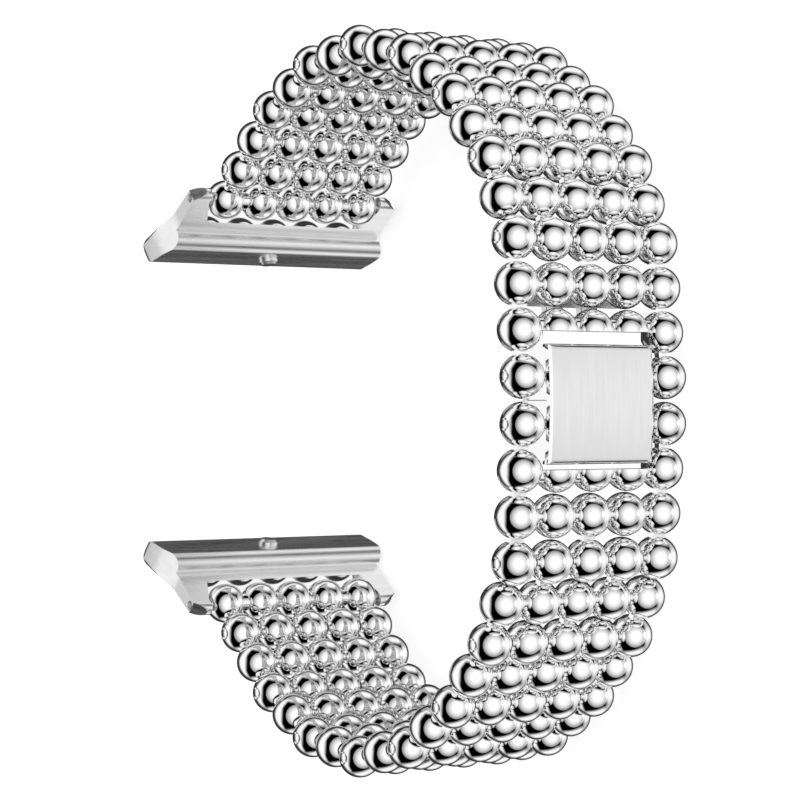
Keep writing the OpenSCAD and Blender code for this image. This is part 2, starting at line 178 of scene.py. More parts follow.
# A Mix node's two colour inputs and its colour output
MIX_FIRST, MIX_SECOND, MIX_RESULT = 6, 7, 2


def shader_nodes(name):
    """An empty material with its output, and its node tree."""
    material = bpy.data.materials.new(name)
    material.use_nodes = True
    tree = material.node_tree
    tree.nodes.clear()
    output = tree.nodes.new("ShaderNodeOutputMaterial")
    output.name = "Output"
    return material, tree


def add(tree, kind, **values):
    """One node with its properties and socket defaults set by name or number."""
    node = tree.nodes.new(kind)
    sockets = values.pop("sockets", {})
    for key, value in values.items():
        setattr(node, key, value)
    for key, value in sockets.items():
        node.inputs[key].default_value = value
    return node


def link(tree, source, target):
    tree.links.new(source, target)


def feed(tree, node, values):
    """Fills a node's first inputs with sockets or numbers, and gives its first output."""
    for number, value in enumerate(values):
        if isinstance(value, (int, float)):
            node.inputs[number].default_value = value
        else:
            link(tree, value, node.inputs[number])
    return node.outputs[0]


def math_node(tree, operation, first, second=0.0):
    """A Math node whose inputs are sockets or numbers."""
    return feed(tree, add(tree, "ShaderNodeMath", operation=operation), (first, second))


def vector_node(tree, x=0.0, y=0.0, z=0.0):
    """A Combine XYZ node whose inputs are sockets or numbers."""
    return feed(tree, add(tree, "ShaderNodeCombineXYZ"), (x, y, z))


def ranged(tree, value, low, high, to_low=0.0, to_high=1.0, kind="LINEAR"):
    """A value carried from one range to another, and held beyond its ends."""
    node = add(tree, "ShaderNodeMapRange", interpolation_type=kind, sockets={
        "From Min": low, "From Max": high, "To Min": to_low, "To Max": to_high})
    link(tree, value, node.inputs["Value"])
    return node.outputs["Result"]


def object_pattern(tree, scale):
    """Object coordinates stretched by a Mapping node."""
    coordinates = add(tree, "ShaderNodeTexCoord")
    mapping = add(tree, "ShaderNodeMapping", sockets={"Scale": scale})
    link(tree, coordinates.outputs["Object"], mapping.inputs["Vector"])
    return mapping.outputs["Vector"]


# Finishes

# How often the brushed grain changes in a metre along X, Y and Z: it is long where the number is small
BAND_GRAIN = (2600, 90, 2600)
ADAPTER_GRAIN = (1500, 1500, 60)
WIRE_GRAIN = (3000, 3000, 3000)
HAIRLINES = (900, 6000, 900)
GRAIN_DEPTH = 0.02 * MM
# X and Y of the direction in which an adapter's wrist side faces, in the half where Y is below 0
WRIST_SIDE = (0.643, 0.766)


def grained(tree, shader, height, strength):
    """Raises a shader's surface by a pattern."""
    bump = add(tree, "ShaderNodeBump", sockets={"Strength": strength, "Distance": GRAIN_DEPTH})
    link(tree, height, bump.inputs["Height"])
    link(tree, bump.outputs["Normal"], shader.inputs["Normal"])


def polished_nodes(tree, colour, roughness, smudge=0.03):
    """Mirror-polished steel with faint handling smudges and hairlines."""
    shader = add(tree, "ShaderNodeBsdfPrincipled", sockets={"Base Color": (*colour, 1), "Metallic": 1.0})
    smudges = add(tree, "ShaderNodeTexNoise", sockets={"Scale": 260.0, "Detail": 4.0, "Roughness": 0.55})
    link(tree, object_pattern(tree, (1, 1, 1)), smudges.inputs["Vector"])
    spread = ranged(tree, smudges.outputs["Fac"], 0.45, 0.75, roughness, roughness + smudge)
    link(tree, spread, shader.inputs["Roughness"])
    lines = add(tree, "ShaderNodeTexNoise", sockets={"Scale": 1.0, "Detail": 2.0})
    link(tree, object_pattern(tree, HAIRLINES), lines.inputs["Vector"])
    grained(tree, shader, lines.outputs["Fac"], 0.004)
    return shader.outputs["BSDF"]


def satin_nodes(tree, colour, roughness, grain=BAND_GRAIN, depth=0.04, tone=0.03):
    """Satin steel with a fine brushed grain, drawn out along the band unless told otherwise."""
    shader = add(tree, "ShaderNodeBsdfPrincipled", sockets={"Metallic": 1.0, "Anisotropic": 0.3})
    strokes = add(tree, "ShaderNodeTexNoise", sockets={"Scale": 1.0, "Detail": 5.0, "Roughness": 0.65})
    link(tree, object_pattern(tree, grain), strokes.inputs["Vector"])
    ramp = add(tree, "ShaderNodeMix", data_type="RGBA", sockets={
        MIX_FIRST: (*[c * (1 - tone) for c in colour], 1),
        MIX_SECOND: (*[min(1, c * (1 + tone)) for c in colour], 1)})
    link(tree, strokes.outputs["Fac"], ramp.inputs[0])
    link(tree, ramp.outputs[MIX_RESULT], shader.inputs["Base Color"])
    spread = ranged(tree, strokes.outputs["Fac"], 0.3, 0.7, roughness - 0.05, roughness + 0.07)
    link(tree, spread, shader.inputs["Roughness"])
    grained(tree, shader, strokes.outputs["Fac"], depth)
    return shader.outputs["BSDF"]


def one_finish(name, nodes, *values, **extra):
    """A material that is all polished or all satin."""
    material, tree = shader_nodes(name)
    link(tree, nodes(tree, *values, **extra), tree.nodes["Output"].inputs["Surface"])
    return material


def two_finishes(name, first, second, share):
    """A material that goes from the first finish to the second as the share rises from 0 to 1."""
    material, tree = shader_nodes(name)
    mix = add(tree, "ShaderNodeMixShader")
    mixed = feed(tree, mix, (share(tree), first(tree), second(tree)))
    link(tree, mixed, tree.nodes["Output"].inputs["Surface"])
    return material


def object_axes(tree):
    """The surface's direction and its place, each split into X, Y and Z."""
    coordinates = add(tree, "ShaderNodeTexCoord")
    normal, place = (add(tree, "ShaderNodeSeparateXYZ") for _ in range(2))
    link(tree, coordinates.outputs["Normal"], normal.inputs[0])
    link(tree, coordinates.outputs["Object"], place.inputs[0])
    return normal.outputs, place.outputs


def plate_face(tree):
    """1 on the cover plate's arched face, 0 on its bevels, ends and sides."""
    normal, _ = object_axes(tree)
    return ranged(tree, normal["X"], 0.95, 0.98)


def adapter_inside(tree):
    """1 on an adapter's flanks and on all that looks to the wrist, 0 on its outer side."""
    normal, place = object_axes(tree)
    half = math_node(tree, "SIGN", place["Y"])
    inward = math_node(tree, "MULTIPLY", math_node(tree, "MULTIPLY", normal["Y"], half), -WRIST_SIDE[1])
    facing_wrist = math_node(tree, "ADD", math_node(tree, "MULTIPLY", normal["X"], WRIST_SIDE[0]), inward)
    flank = math_node(tree, "MULTIPLY", math_node(tree, "ABSOLUTE", normal["Z"]), 0.5)
    return ranged(tree, math_node(tree, "ADD", facing_wrist, flank), 0.03, 0.08)


def finish(slot):
    """The finish of one of the record's slots, made once.

    The frame's own plain materials have the slots' names, so the finishes have longer ones."""
    look = bpy.context.scene.bracelet_finish
    name = f"{slot}_finish"
    if name in bpy.data.materials:
        return bpy.data.materials[name]
    polished, satin = tuple(look.polished_colour), tuple(look.satin_colour)
    polish, grain = look.polish_roughness, look.satin_roughness
    dark = tuple(c * 0.5 for c in satin)

    def outer(tree):
        return polished_nodes(tree, polished, polish + 0.02)

    makers = {
        "polished_beads": lambda: one_finish(name, polished_nodes, polished, polish),
        "polished_clasp": lambda: one_finish(name, polished_nodes, polished, polish + 0.04),
        "pin_steel": lambda: one_finish(name, polished_nodes, polished, polish + 0.01, smudge=0.05),
        "satin_plate": lambda: two_finishes(
            name, outer, lambda tree: satin_nodes(tree, satin, grain, depth=0.015, tone=0.01), plate_face),
        "adapter_steel": lambda: two_finishes(
            name, outer, lambda tree: satin_nodes(tree, satin, grain - 0.06, ADAPTER_GRAIN, 0.02, 0.02),
            adapter_inside),
        "clasp_steel": lambda: one_finish(name, satin_nodes, satin, grain + 0.1),
        "spring_steel": lambda: one_finish(name, satin_nodes, dark, grain - 0.06, WIRE_GRAIN),
    }
    return makers[slot]()


# Mesh helpers

def mesh_of(bm, name, degrees):
    """The bmesh as a smooth mesh, sharp at the edges that turn by more than this angle."""
    mesh = bpy.data.meshes.new(name)
    bm.to_mesh(mesh)
    bm.free()
    mesh.shade_smooth()
    mesh.set_sharp_from_angle(angle=math.radians(degrees))
    return mesh


def revolve(profile, facets, name):
    """A mesh turned about Z from (radius, z) points that run from the lower end to the upper one."""
    bm = bmesh.new()
    rings = []
    for radius, z in profile:
        if radius < 1e-9:
            rings.append([bm.verts.new((0, 0, z))])
        else:
            rings.append([bm.verts.new((radius * math.cos(2 * math.pi * k / facets),
                                        radius * math.sin(2 * math.pi * k / facets), z))
                          for k in range(facets)])
    for low, high in zip(rings, rings[1:]):
        for k in range(facets):
            m = (k + 1) % facets
            corners = [low[k % len(low)], low[m % len(low)], high[m % len(high)], high[k % len(high)]]
            bm.faces.new(list(dict.fromkeys(corners)))
    for ring, inward in ((rings[0], True), (rings[-1], False)):
        if len(ring) > 1:
            bm.faces.new(ring[::-1] if inward else ring)
    bmesh.ops.recalc_face_normals(bm, faces=bm.faces)
    return mesh_of(bm, name, 35)


def ball_arc(radius, low, high, steps):
    """Outline of a ball from one latitude in degrees to another."""
    angles = [math.radians(low + (high - low) * k / steps) for k in range(steps + 1)]
    return [(radius * math.cos(a), radius * math.sin(a)) for a in angles]


def bored_outline(radius, bore, mouth, steps):
    """Outline of a bead with a blind bore and its countersink at both poles."""
    rim = math.degrees(math.acos((bore / 2 + mouth) / radius))
    wall = ball_arc(radius, -rim, rim, steps)
    inner, top, bottom = bore / 2, wall[-1][1] - mouth * MOUTH_SLOPE, radius - BORE_DEPTH
    return [(inner, -bottom), (inner, -top), *wall, (inner, top), (inner, bottom)]


def spare_object(name, mesh):
    """An object that only a node tree reads. It isn't in the scene."""
    spare = bpy.data.objects.get(name) or bpy.data.objects.new(name, mesh)
    spare.data = mesh
    return spare


def place_piece(name, mesh, body, slot, *nodes):
    """Puts a finished mesh in the scene, on its body, in place of CAD nodes."""
    piece = bpy.data.objects.new(name, mesh)
    bpy.context.scene.collection.objects.link(piece)
    mesh.materials.clear()
    mesh.materials.append(finish(slot))
    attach(piece, body)
    if nodes:
        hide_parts(*nodes)
    return piece


def break_edges(bm, edges, width):
    """Rounds the edges over this width."""
    bmesh.ops.bevel(bm, geom=edges, offset=width, offset_type="WIDTH", segments=2, profile=0.5,
                    affect="EDGES", clamp_overlap=True)


def softened(node, width):
    """A merged copy of a CAD node whose hard edges are broken and whose flat faces stay flat."""
    source = frame["nodes"][node]
    bm = bmesh.new()
    bm.from_mesh(source.data)
    bmesh.ops.transform(bm, matrix=source.matrix_world, verts=bm.verts)
    bmesh.ops.remove_doubles(bm, verts=bm.verts, dist=WELD_DISTANCE)
    bmesh.ops.dissolve_limit(bm, angle_limit=FLAT_ANGLE, verts=bm.verts, edges=bm.edges)
    bmesh.ops.recalc_face_normals(bm, faces=bm.faces)
    break_edges(bm, [e for e in bm.edges if len(e.link_faces) == 2 and e.calc_face_angle(0) > HARD_ANGLE],
                width)
    return weighted(mesh_of(bm, node, 40))


def modified(mesh, kind, set_up):
    """The mesh with one modifier applied. The mesh that was given is used up."""
    carrier = bpy.data.objects.new("carrier", mesh)
    bpy.context.scene.collection.objects.link(carrier)
    modifier = carrier.modifiers.new("Change", kind)
    set_up(modifier)
    bpy.context.view_layer.update()
    evaluated = carrier.evaluated_get(bpy.context.evaluated_depsgraph_get())
    result = bpy.data.meshes.new_from_object(evaluated)
    carrier.modifiers.remove(modifier)
    bpy.data.objects.remove(carrier)
    bpy.data.meshes.remove(mesh)
    return result


def weighted(mesh):
    """The mesh with normals that keep its large faces flat."""
    def set_up(modifier):
        modifier.keep_sharp = True
        modifier.weight = 90

    return modified(mesh, "WEIGHTED_NORMAL", set_up)


def body_of(node):
    """The moving body that a CAD node rides with."""
    bodies = frame["record"]["behaviour"]["bodies"]
    return next(body for body, nodes in bodies.items() if node in nodes)


# Where the pieces lie, read from the joints

def row_point(half, row):
    """Centre of an even row, of row 1 or of the adapter's row, in the bracelet's middle plane."""
    names = {1: f"{half}_end_pivot", 19: f"{half}_adapter_pivot"}
    names.update({2 * k + 2: f"{half}_hinge_{k}" for k in range(1, LINKS + 2)})
    return Vector(joints[names[row]]["pos_m"])


def along(origin, towards):
    """Place with its origin at one point and +Y along the band."""
    y = (towards - origin).normalized()
    z = Vector((0, 0, 1))
    return Matrix.Translation(origin) @ Matrix((y.cross(z), y, z)).transposed().to_4x4()


# Geometry Nodes: rows of beads, necks and bars

def geometry_tree(name, inputs):
    """A Geometry Nodes tree with named inputs, its group input and its group output."""
    tree = bpy.data.node_groups.new(name, "GeometryNodeTree")
    tree.interface.new_socket("Geometry", in_out="OUTPUT", socket_type="NodeSocketGeometry")
    for label, kind, value in inputs:
        socket = tree.interface.new_socket(label, in_out="INPUT", socket_type=kind)
        if value is not None:
            socket.default_value = value
    return tree, tree.nodes.new("NodeGroupInput"), tree.nodes.new("NodeGroupOutput")


def row_tree():
    """Copies of one shape, side by side along Z and centred, at one distance along the band."""
    tree, given, result = geometry_tree("Row", [
        ("Shape", "NodeSocketGeometry", None), ("Count", "NodeSocketInt", 5),
        ("Step", "NodeSocketFloat", 0.0046), ("Along", "NodeSocketFloat", 0.0)])
    less = math_node(tree, "SUBTRACT", given.outputs["Count"], 1)
    half = math_node(tree, "MULTIPLY", math_node(tree, "MULTIPLY", less, given.outputs["Step"]), -0.5)
    line = add(tree, "GeometryNodeMeshLine", mode="OFFSET", count_mode="TOTAL")
    link(tree, given.outputs["Count"], line.inputs["Count"])
    link(tree, vector_node(tree, 0, given.outputs["Along"], half), line.inputs["Start Location"])
    link(tree, vector_node(tree, 0, 0, given.outputs["Step"]), line.inputs["Offset"])
    copies = add(tree, "GeometryNodeInstanceOnPoints")
    link(tree, line.outputs["Mesh"], copies.inputs["Points"])
    link(tree, given.outputs["Shape"], copies.inputs["Instance"])
    link(tree, copies.outputs["Instances"], result.inputs["Geometry"])
    return tree


def bead_tree(name, rows, bars, necks):
    """A link's beads, bars and necks.

    Rows are (shape input, count, column step, row), bars are rows, and necks are (count, column step, row
    between)."""
    tree, given, result = geometry_tree(name, [
        ("Solid Bead", "NodeSocketObject", None), ("Bored Bead", "NodeSocketObject", None),
        ("End Bead", "NodeSocketObject", None), ("Column Pitch", "NodeSocketFloat", 0.0046),
        ("Row Pitch", "NodeSocketFloat", 0.0046), ("Bar Diameter", "NodeSocketFloat", 0.0013),
        ("Neck Width", "NodeSocketFloat", 0.0016), ("Neck Thickness", "NodeSocketFloat", 0.0007)])
    row_group = bpy.data.node_groups.get("Row") or row_tree()
    join = add(tree, "GeometryNodeJoinGeometry")

    def row_of(shape, count, step, row):
        group = add(tree, "GeometryNodeGroup", node_tree=row_group, sockets={"Count": count})
        link(tree, shape, group.inputs["Shape"])
        link(tree, math_node(tree, "MULTIPLY", given.outputs["Column Pitch"], step), group.inputs["Step"])
        link(tree, math_node(tree, "MULTIPLY", given.outputs["Row Pitch"], row), group.inputs["Along"])
        link(tree, group.outputs["Geometry"], join.inputs["Geometry"])

    for label, count, step, row in rows:
        info = add(tree, "GeometryNodeObjectInfo")
        link(tree, given.outputs[label], info.inputs["Object"])
        row_of(info.outputs["Geometry"], count, step, row)
    if bars:
        bar = add(tree, "GeometryNodeMeshCylinder", sockets={"Vertices": BAR_FACETS})
        link(tree, math_node(tree, "MULTIPLY", given.outputs["Bar Diameter"], 0.5), bar.inputs["Radius"])
        length = math_node(tree, "MULTIPLY", given.outputs["Column Pitch"], 2 * EDGE_COLUMN)
        link(tree, length, bar.inputs["Depth"])
        smooth = add(tree, "GeometryNodeSetShadeSmooth")
        link(tree, bar.outputs["Mesh"], smooth.inputs["Geometry"])
        for row in bars:
            row_of(smooth.outputs["Geometry"], 1, 1, row)
    if necks:
        neck = add(tree, "GeometryNodeMeshCube")
        link(tree, vector_node(tree, given.outputs["Neck Thickness"], given.outputs["Row Pitch"],
                               given.outputs["Neck Width"]), neck.inputs["Size"])
        for count, step, row in necks:
            row_of(neck.outputs["Mesh"], count, step, row)
    real = add(tree, "GeometryNodeRealizeInstances")
    link(tree, join.outputs["Geometry"], real.inputs["Geometry"])
    link(tree, real.outputs["Geometry"], result.inputs["Geometry"])
    return tree


def grown(tree, values, matrix):
    """The tree's result with these inputs, as a plain mesh moved to its place."""
    def set_up(modifier):
        modifier.node_group = tree
        sockets = {s.name: s.identifier for s in tree.interface.items_tree if s.in_out == "INPUT"}
        for label, value in values.items():
            modifier[sockets[label]] = value

    mesh = modified(bpy.data.meshes.new("carrier"), "NODES", set_up)
    mesh.transform(matrix)
    return mesh


def bead_values(sizes):
    """Inputs that every tree of beads shares."""
    radius, steps = sizes.bead_diameter / 2, sizes.bead_facets // 2
    pitch = sizes.bead_diameter + sizes.bead_gap
    outlines = {
        "Solid Bead": ball_arc(radius, -90, 90, steps),
        "Bored Bead": bored_outline(radius, sizes.pin_bore, sizes.bore_mouth, steps),
        "End Bead": bored_outline(radius, sizes.end_bore, sizes.bore_mouth, steps)}
    shapes = {}
    for label, outline in outlines.items():
        name = label.lower().replace(" ", "_")
        shapes[label] = spare_object(name, revolve(outline, sizes.bead_facets, name))
    return {**shapes, "Column Pitch": pitch, "Row Pitch": pitch, "Bar Diameter": sizes.bar_diameter,
            "Neck Width": sizes.neck_width, "Neck Thickness": sizes.neck_thickness}


# Operators, one for each group of pieces

class BRACELET_OT_links(bpy.types.Operator):
    """Makes the links: two knuckles, a fused row of five beads and three knuckles"""
    bl_idname = "bracelet.links"
    bl_label = "Links"

    def execute(self, context):
        values = bead_values(context.scene.bracelet_sizes)
        tree = bead_tree(
            "Link",
            rows=[("Bored Bead", 2, 2, -1), ("Solid Bead", 5, 1, 0), ("Bored Bead", 3, 2, 1)],
            bars=[0], necks=[(2, 2, -0.5), (3, 2, 0.5)])
        for half in HALVES:
            for k in range(1, LINKS + 1):
                near, far = row_point(half, 2 * k + 2), row_point(half, 2 * k + 4)
                mesh = grown(tree, values, along((near + far) / 2, far))
                place_piece(f"{half}_link_{k}_beads", mesh, f"{half}_link_{k}", "polished_beads",
                            f"{half}_link_{k}")
        return {"FINISHED"}


class BRACELET_OT_end_sections(bpy.types.Operator):
    """Makes the rigid end sections beside the cover plate, with the half beads at the clasp's blocks"""
    bl_idname = "bracelet.end_sections"
    bl_label = "End Sections"

    def execute(self, context):
        sizes = context.scene.bracelet_sizes
        values = bead_values(sizes)
        pitch = values["Row Pitch"]
        tree = bead_tree(
            "End Section",
            rows=[("End Bead", 2, 4, -1), ("Solid Bead", 2, 4, 0), ("Solid Bead", 5, 1, 1),
                  ("Bored Bead", 3, 2, 2)],
            bars=[1], necks=[(2, 4, -0.5), (2, 4, 0.5), (3, 2, 1.5)])
        for half in HALVES:
            near, far = row_point(half, 1), row_point(half, 4)
            second = near + (far - near) / 3
            mesh = grown(tree, values, along(second, far))
            side = 1 if half == "upper" else -1
            add_half_beads(mesh, second, side, sizes.bead_diameter / 2, pitch, sizes.bead_facets,
                           sizes.bar_diameter)
            place_piece(f"{half}_end_beads", mesh, f"{half}_end", "polished_beads", f"{half}_end_section")
        return {"FINISHED"}


def add_half_beads(mesh, centre, side, radius, pitch, facets, bar):
    """Three beads cut flat towards the clasp, and the bar that holds them."""
    bm = bmesh.new()
    bm.from_mesh(mesh)
    cut = radius * 0.01
    start = math.degrees(math.asin(-cut / radius))
    shape = revolve(ball_arc(radius, start, 90, facets // 4), facets, "half_bead")
    turn = Matrix.Rotation(math.radians(-90 * side), 4, "X")
    for column in (-1, 0, 1):
        copy = shape.copy()
        copy.transform(Matrix.Translation(centre + Vector((0, 0, column * pitch))) @ turn)
        bm.from_mesh(copy)
        bpy.data.meshes.remove(copy)
    reach = EDGE_COLUMN * pitch
    round_bar = revolve([(bar / 2, -reach), (bar / 2, reach)], BAR_FACETS, "bar")
    round_bar.transform(Matrix.Translation(centre + Vector((0, side * (bar / 2 + cut), 0))))
    bm.from_mesh(round_bar)
    bm.to_mesh(mesh)
    bm.free()


class BRACELET_OT_end_links(bpy.types.Operator):
    """Makes the last link of each half, whose five beads turn on the spring bar"""
    bl_idname = "bracelet.end_links"
    bl_label = "End Links"

    def execute(self, context):
        values = bead_values(context.scene.bracelet_sizes)
        values["Bar Diameter"] = SLEEVE_DIAMETER
        tree = bead_tree("End Link", rows=[("Bored Bead", 2, 2, -1), ("Solid Bead", 5, 1, 0)],
                         bars=[0], necks=[(2, 2, -0.5)])
        for half in HALVES:
            last, turning = row_point(half, 18), row_point(half, 19)
            place = along(last, turning)
            place.translation = turning
            mesh = grown(tree, values, place)
            place_piece(f"{half}_end_link_beads", mesh, f"{half}_end_link", "polished_beads",
                        f"{half}_end_link")
        return {"FINISHED"}


class BRACELET_OT_pins(bpy.types.Operator):
    """Makes the hinge pins, whose polished ends are domed like the beads they lie in"""
    bl_idname = "bracelet.pins"
    bl_label = "Pins"

    def execute(self, context):
        sizes = context.scene.bracelet_sizes
        ball, reach = sizes.bead_diameter / 2, EDGE_COLUMN * (sizes.bead_diameter + sizes.bead_gap)
        for half in HALVES:
            rows = {f"{half}_end_pin": 1}
            rows.update({f"{half}_hinge_pin_{k}": 2 * k + 2 for k in range(1, LINKS + 2)})
            for node, row in rows.items():
                width = sizes.end_pin_diameter if row == 1 else sizes.pin_diameter
                mesh = revolve(pin_outline(width / 2, ball, reach), PIN_FACETS, node)
                mesh.transform(Matrix.Translation(row_point(half, row)))
                place_piece(f"{node}_domed", mesh, body_of(node), "pin_steel", node)
        return {"FINISHED"}


def pin_outline(radius, ball, reach):
    """Outline of a pin whose ends lie on the balls at both reaches, with broken edges."""
    steps = [(radius - PIN_EDGE) * k / 6 for k in range(7)]
    dome = [(r, reach + math.sqrt(ball * ball - r * r)) for r in steps]
    top = dome[-1][1]
    corner = [(radius - PIN_EDGE * (1 - math.sin(a)), top - PIN_EDGE * (1 - math.cos(a)))
              for a in (math.radians(30), math.radians(60), math.radians(90))]
    upper = dome + corner
    return [(r, -z) for r, z in upper] + [(r, z) for r, z in reversed(upper)]


class BRACELET_OT_cover_plate(bpy.types.Operator):
    """Makes the arched cover plate with chamfered sides, round ends, its posts and the catch tongue"""
    bl_idname = "bracelet.cover_plate"
    bl_label = "Cover Plate"

    def execute(self, context):
        sizes = context.scene.bracelet_sizes
        low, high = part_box("clasp_cover_plate")
        middle = Vector((high[0], (low[1] + high[1]) / 2, (low[2] + high[2]) / 2))
        bm = bmesh.new()
        add_arched_plate(bm, sizes, middle)
        add_tongue_and_posts(bm, low[0], middle.x - sizes.plate_thickness, middle.z)
        bmesh.ops.recalc_face_normals(bm, faces=bm.faces)
        mesh = mesh_of(bm, "cover_plate", 22)
        place_piece("cover_plate", weighted(mesh), "fold_arm", "satin_plate", "clasp_cover_plate")
        return {"FINISHED"}


def add_arched_plate(bm, sizes, middle):
    """Adds the cover plate round the middle of its arched face."""
    half_l, half_w = sizes.plate_length / 2, sizes.plate_width / 2
    ends = [half_l - sizes.plate_round * t for t in ROUND_STEPS]
    sides = [half_w - sizes.plate_chamfer * t for t in (0, 0.5, 1)]
    along_y = [-y for y in ends] + [half_l * k / 10 for k in range(-9, 10)] + ends[::-1]
    across_z = [-z for z in sides] + [half_w * k / 8 for k in range(-7, 8)] + sides[::-1]

    def face_depth(y, z):
        over = max(0.0, sizes.plate_round - half_l + abs(y))
        turned = sizes.plate_round - math.sqrt(max(0.0, sizes.plate_round ** 2 - over ** 2))
        slant = max(0.0, abs(z) - half_w + sizes.plate_chamfer)
        return max(turned * ROUND_DEPTH, slant * CHAMFER_SLOPE)

    def back_depth(y, z):
        return sizes.plate_thickness

    def sheet(depth):
        return [[bm.verts.new(middle + Vector((
            math.sqrt(PLATE_ARCH ** 2 - y * y) - PLATE_ARCH - depth(y, z), y, z)))
            for z in across_z] for y in along_y]

    upper, under = sheet(face_depth), sheet(back_depth)
    rows, columns = len(along_y), len(across_z)
    for i in range(rows - 1):
        for j in range(columns - 1):
            bm.faces.new((upper[i][j], upper[i + 1][j], upper[i + 1][j + 1], upper[i][j + 1]))
            bm.faces.new((under[i][j], under[i][j + 1], under[i + 1][j + 1], under[i + 1][j]))
        for j in (0, columns - 1):
            bm.faces.new((upper[i][j], upper[i + 1][j], under[i + 1][j], under[i][j]))
    for j in range(columns - 1):
        for i in (0, rows - 1):
            bm.faces.new((upper[i][j], upper[i][j + 1], under[i][j + 1], under[i][j]))


def add_tongue_and_posts(bm, foot, under, centre_z):
    """Adds what hangs below the cover plate, from its foot up to just inside the plate."""
    top = under + ROOT
    size = Vector((top - foot, TONGUE_Y[1] - TONGUE_Y[0], 2 * TONGUE_Z))
    centre = Vector(((top + foot) / 2, sum(TONGUE_Y) / 2, centre_z))
    made = bmesh.ops.create_cube(bm, size=1, matrix=Matrix.Translation(centre) @ Matrix.Diagonal((*size, 1)))
    break_edges(bm, list({e for v in made["verts"] for e in v.link_edges}), TONGUE_EDGE)
    turn = Matrix.Rotation(math.radians(90), 4, "Y")
    for side in (-1, 1):
        spot = Vector(((top + foot) / 2, POST_Y, centre_z + side * POST_Z))
        bmesh.ops.create_cone(bm, cap_ends=True, segments=BAR_FACETS, radius1=POST_RADIUS,
                              radius2=POST_RADIUS, depth=top - foot, matrix=Matrix.Translation(spot) @ turn)


class BRACELET_OT_clasp(bpy.types.Operator):
    """Softens the edges of the clasp's end blocks, its base blade and its fold arm"""
    bl_idname = "bracelet.clasp"
    bl_label = "Clasp"

    def execute(self, context):
        width = context.scene.bracelet_sizes.edge_softness
        for node, slot in (("clasp_anchor_block", "polished_clasp"), ("clasp_arm_block", "polished_clasp"),
                           ("clasp_base", "clasp_steel"), ("clasp_fold_arm", "clasp_steel")):
            place_piece(f"{node}_soft", softened(node, width), body_of(node), slot, node)
        return {"FINISHED"}


class BRACELET_OT_adapters(bpy.types.Operator):
    """Softens the edges of the two adapters that slide into the watch case"""
    bl_idname = "bracelet.adapters"
    bl_label = "Adapters"

    def execute(self, context):
        width = context.scene.bracelet_sizes.edge_softness
        for half in HALVES:
            place_piece(f"{half}_adapter_soft", softened(f"{half}_adapter", width), f"{half}_adapter",
                        "adapter_steel", f"{half}_adapter")
        return {"FINISHED"}


class BRACELET_OT_carried_nodes(bpy.types.Operator):
    """Gives every piece that keeps its own solid its finish"""
    bl_idname = "bracelet.carried_nodes"
    bl_label = "Carried Nodes"

    def execute(self, context):
        slots = {s["node"]: s["material_slot"] for s in frame["record"]["subparts"]}
        for name, piece in frame["nodes"].items():
            if not piece.hide_render:
                piece.data.materials.clear()
                piece.data.materials.append(finish(slots[name]))
        return {"FINISHED"}


# Stage

# The studio round the bracelet is laid out as a mirror ball before the camera shows it, with places to the
# right and up in radii. Each corner of its dark panel also says how softly the side that starts there fades
PANEL_CORNERS = (
    (-0.34, -0.77, 0.10), (0.20, -0.69, 0.12), (0.63, -0.50, 0.08), (0.65, 0.51, 0.13),
    (0.20, 0.65, 0.10), (-0.26, 0.69, 0.08), (-0.52, 0.34, 0.09), (-0.53, -0.42, 0.07))
WALL_LEVEL = 1.04
# The round light: its direction to the camera's right, up and back, the cosine of its half angle and how
# softly it ends, and its levels at the rim and at the middle
LIGHT_AIM = (0.4, -0.01, 0.916)
LIGHT_RIM = math.cos(math.radians(60.5))
RIM_SOFTNESS = 0.02
LIGHT_LEVELS = (0.22, 1.1)
# The bright patch that the clasp's flat faces mirror, and the dark side behind the bracelet
PATCH_PLACE = (0.615, 0.03)
PATCH_LEVEL = 1.12
BACK_AIM = (-0.14, 0, -0.99)
BACK_LEVEL = 0.04


def camera_direction(right, up, back):
    """A direction that is given along the camera's axes."""
    parts = Vector(CAMERA_RIGHT) * right, Vector(CAMERA_UP) * up, Vector(CAMERA_BACK) * back
    return sum(parts, Vector((0, 0, 0))).normalized()


def facing(tree, vector, axis):
    """How far a vector reaches along an axis."""
    node = add(tree, "ShaderNodeVectorMath", operation="DOT_PRODUCT", sockets={1: tuple(axis)})
    link(tree, vector, node.inputs[0])
    return node.outputs["Value"]


def ease(tree, value, low, high, to_low=0.0, to_high=1.0):
    """A value carried from one range to another, with soft ends."""
    return ranged(tree, value, low, high, to_low, to_high, "SMOOTHSTEP")


def blend(tree, first, second, share):
    """Goes from the first value to the second as the share rises from 0 to 1."""
    keep = math_node(tree, "MULTIPLY", first, math_node(tree, "SUBTRACT", 1.0, share))
    return math_node(tree, "ADD", keep, math_node(tree, "MULTIPLY", second, share))


def panel_share(tree, across, above):
    """1 in the dark panel, 0 around it."""
    panel = 1.0
    for (x, y, soft), (nx, ny, _) in zip(PANEL_CORNERS, PANEL_CORNERS[1:] + PANEL_CORNERS[:1]):
        side = Vector((y - ny, nx - x)).normalized()
        reach = math_node(tree, "ADD", math_node(tree, "MULTIPLY", across, side.x),
                          math_node(tree, "MULTIPLY", above, side.y))
        start = side.x * x + side.y * y
        panel = math_node(tree, "MULTIPLY", panel, ease(tree, reach, start - soft, start + soft))
    return panel


def wall_level(tree, across, above):
    """The pale walls, which darken in the corners on the right."""
    height = math_node(tree, "ABSOLUTE", above)
    corner = math_node(tree, "MULTIPLY", ease(tree, height, 0.12, 0.45, 0.0, 0.42),
                       ease(tree, across, 0.45, 0.62))
    return math_node(tree, "MULTIPLY", WALL_LEVEL, math_node(tree, "SUBTRACT", 1.0, corner))


